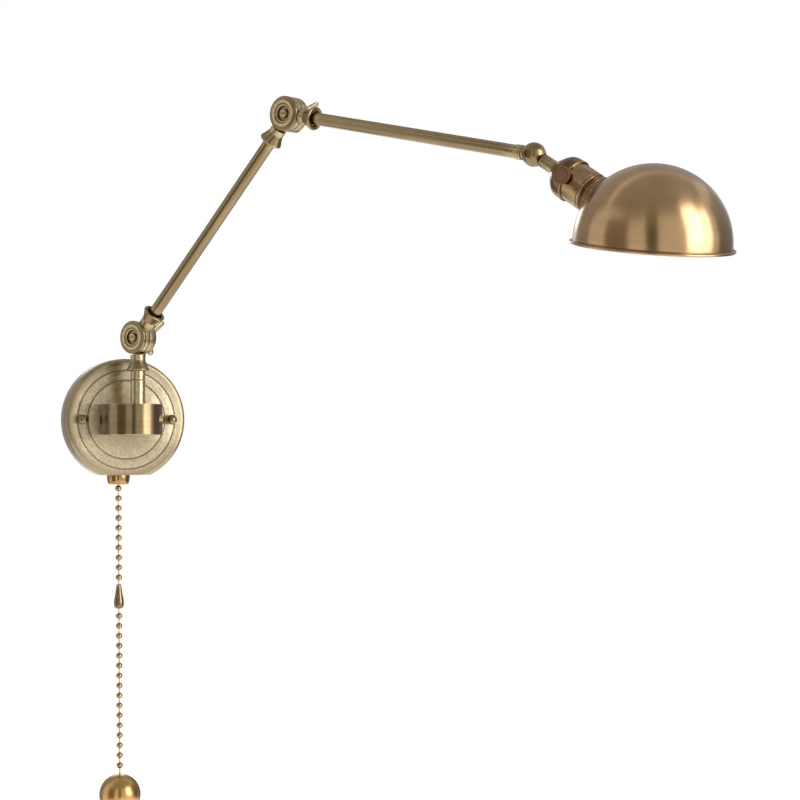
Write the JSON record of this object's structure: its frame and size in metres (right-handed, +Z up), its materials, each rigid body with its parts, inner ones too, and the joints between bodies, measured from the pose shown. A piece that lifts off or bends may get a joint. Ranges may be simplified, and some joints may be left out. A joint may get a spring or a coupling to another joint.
{
  "type": "wall lamp",
  "caption": "Swing-arm wall lamp: round canopy, swivelling stem, jointed arms with wing nuts, tilting lampholder with domed metal shade, bead pull chain.",
  "frame": {"origin": "the middle of the round canopy, on the wall", "axes": "+Z up, +Y into the wall, -Y out into the room, +X to the right seen from the room"},
  "size_m": [0.4315, 0.6222, 0.6827],
  "materials": {
    "plate_brass": "concentrically brushed pale antique brass, lacquered",
    "steel": "zinc-plated steel",
    "ground_green": "green-dyed zinc plating",
    "aged_brass": "polished bronze-brown antique brass",
    "raw_brass": "turned brass",
    "fibre": "vulcanised fibre",
    "switch_plastic": "moulded phenolic",
    "polished_gold": "polished brass",
    "arm_brass": "satin antique brass",
    "porcelain": "glazed porcelain",
    "knob_brown": "dark brown moulded knob",
    "shade_brass": "spun and brushed antique brass",
    "ball_brass": "satin warm brass"
  },
  "bodies": {
    "base": {"canopy": "plate_brass", "mounting_bracket": "steel", "bracket_studs": "steel", "stud_nuts": "steel", "ground_screw": "ground_green", "cap_nuts": "aged_brass", "hub_nipple": "raw_brass", "nipple_nuts": "raw_brass", "hub_shell": "aged_brass", "hub_cover": "aged_brass", "cover_screws": "steel", "stem_set_screw": "steel", "nipple_set_screw": "steel", "swivel_bush": "raw_brass", "thrust_washer": "fibre", "switch_body": "switch_plastic", "switch_nozzle": "polished_gold"},
    "mast": {"stem_tube": "arm_brass", "stem_nut": "raw_brass", "stem_bell": "arm_brass", "mast_knuckle": "arm_brass", "lower_bolt": "aged_brass", "lower_washer": "fibre"},
    "lower_nut": {"lower_wing_nut": "arm_brass"},
    "lower_arm": {"lower_arm_knuckle": "arm_brass", "lower_arm_bell": "arm_brass", "lower_arm_tube": "arm_brass", "lower_arm_end_bell": "arm_brass", "elbow_lower_half": "arm_brass", "elbow_bolt": "aged_brass", "elbow_washer": "fibre"},
    "elbow_nut": {"elbow_wing_nut": "arm_brass"},
    "upper_arm": {"elbow_upper_half": "arm_brass", "upper_arm_bell": "arm_brass", "upper_arm_tube": "arm_brass", "upper_arm_ferrule": "aged_brass", "head_ball_near": "arm_brass", "head_screw": "aged_brass", "head_washer": "fibre"},
    "head": {"head_ball_far": "arm_brass", "socket_cap": "aged_brass", "cap_lock_nut": "raw_brass", "socket_shell": "aged_brass", "socket_insert": "porcelain", "screw_shell": "raw_brass", "centre_contact": "raw_brass", "shade_collar": "aged_brass", "shade_ring": "raw_brass", "shade": "shade_brass"},
    "knob": {"socket_knob": "knob_brown"},
    "pull": {"pull_rod": "steel"},
    "chain": {"upper_chain": "polished_gold", "chain_connector": "aged_brass", "lower_chain": "polished_gold", "pull_ball": "ball_brass"}
  },
  "joints": [
    {"name": "stem_swivel", "type": "hinge", "parent": "base", "child": "mast", "pos_m": [0, -0.07, 0.02], "axis": [0, 0, 1], "range_deg": [-112, 48]},
    {"name": "lower_tilt", "type": "hinge", "parent": "mast", "child": "lower_arm", "pos_m": [0, -0.07, 0.079], "axis": [-0.848, -0.5299, 0], "range_deg": [-81.5, 43.5]},
    {"name": "elbow_tilt", "type": "hinge", "parent": "lower_arm", "child": "upper_arm", "pos_m": [0.10031, -0.23053, 0.27848], "axis": [0.848, 0.5299, 0], "range_deg": [-123.5, 66.5]},
    {"name": "head_tilt", "type": "hinge", "parent": "upper_arm", "child": "head", "pos_m": [0.24286, -0.45865, 0.2213], "axis": [-0.848, -0.5299, 0], "range_deg": [-90, 90]},
    {"name": "lower_wing_turn", "type": "hinge", "parent": "mast", "child": "lower_nut", "pos_m": [0.01187, -0.06258, 0.079], "axis": [0.848, 0.5299, 0], "continuous": true},
    {"name": "elbow_wing_turn", "type": "hinge", "parent": "lower_arm", "child": "elbow_nut", "pos_m": [0.11219, -0.22311, 0.27848], "axis": [0.848, 0.5299, 0], "continuous": true},
    {"name": "knob_turn", "type": "hinge", "parent": "head", "child": "knob", "pos_m": [0.26348, -0.49166, 0.1966], "axis": [-0.7932, -0.5945, 0.1321], "continuous": true},
    {"name": "chain_pull", "type": "slide", "parent": "base", "child": "pull", "axis": [0, -0.0285, -0.9996], "range_m": [0, 0.008], "stiffness_N_per_m": 800, "springref_m": -0.004},
    {"name": "chain_swing", "type": "hinge", "parent": "pull", "child": "chain", "pos_m": [-0.005, -0.012, -0.0641], "axis": [0, 1, 0], "range_deg": [-15, 15]}
  ]
}
